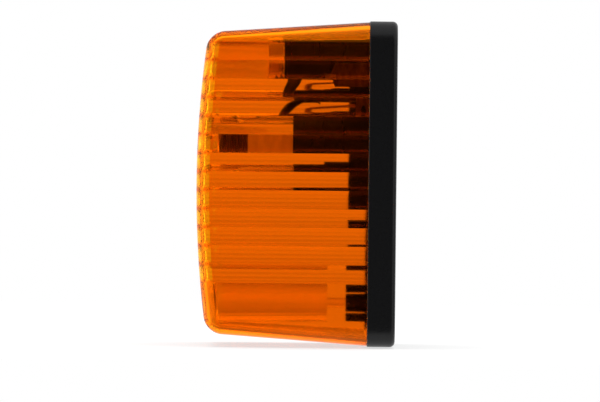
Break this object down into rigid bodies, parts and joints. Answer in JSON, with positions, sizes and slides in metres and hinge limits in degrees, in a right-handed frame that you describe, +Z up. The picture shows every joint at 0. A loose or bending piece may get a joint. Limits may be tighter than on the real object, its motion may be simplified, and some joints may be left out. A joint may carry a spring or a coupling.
{
  "type": "vehicle indicator lamp",
  "caption": "Box-shaped amber indicator lamp: fluted lens on a black base, with a bayonet bulb inside.",
  "frame": {"origin": "centre of the base's rear face, where the lamp meets the vehicle", "axes": "+Z up, -Y out through the lens's front, +X to the right as seen from the front"},
  "size_m": [0.08, 0.0614, 0.1],
  "materials": {
    "black_plastic": "satin",
    "amber_plastic": "clear amber",
    "black_rubber": "matt",
    "zinc_plated_steel": "zinc plated",
    "nickel_plated_steel": "nickel plated",
    "black_passivated_steel": "black passivated",
    "brass": "tarnished",
    "brown_phenolic": "matt",
    "black_glass": "gloss",
    "clear_glass": "clear",
    "solder": "dull",
    "tungsten": "drawn wire",
    "brown_insulation": "satin",
    "black_insulation": "satin"
  },
  "bodies": {
    "root": {"base_housing": "black_plastic", "lens": "amber_plastic", "lens_seal": "black_rubber", "top_lens_screws": "zinc_plated_steel", "side_lens_screws": "zinc_plated_steel", "screw_seals": "black_rubber", "fixing_bushes": "zinc_plated_steel", "socket_shell": "black_passivated_steel", "socket_insulator": "brown_phenolic", "socket_contact": "brass", "socket_spring": "zinc_plated_steel", "socket_earth_tab": "brass", "bulb_cap": "nickel_plated_steel", "bulb_insulator": "black_glass", "bulb_contact": "solder", "bulb_glass": "clear_glass", "bulb_filament": "tungsten", "bulb_supports": "tungsten", "live_terminal": "brass", "earth_terminal": "brass", "terminal_rivets": "brass", "live_lead": "brown_insulation", "earth_lead": "black_insulation", "cable_grommet": "black_rubber"}
  },
  "joints": []
}
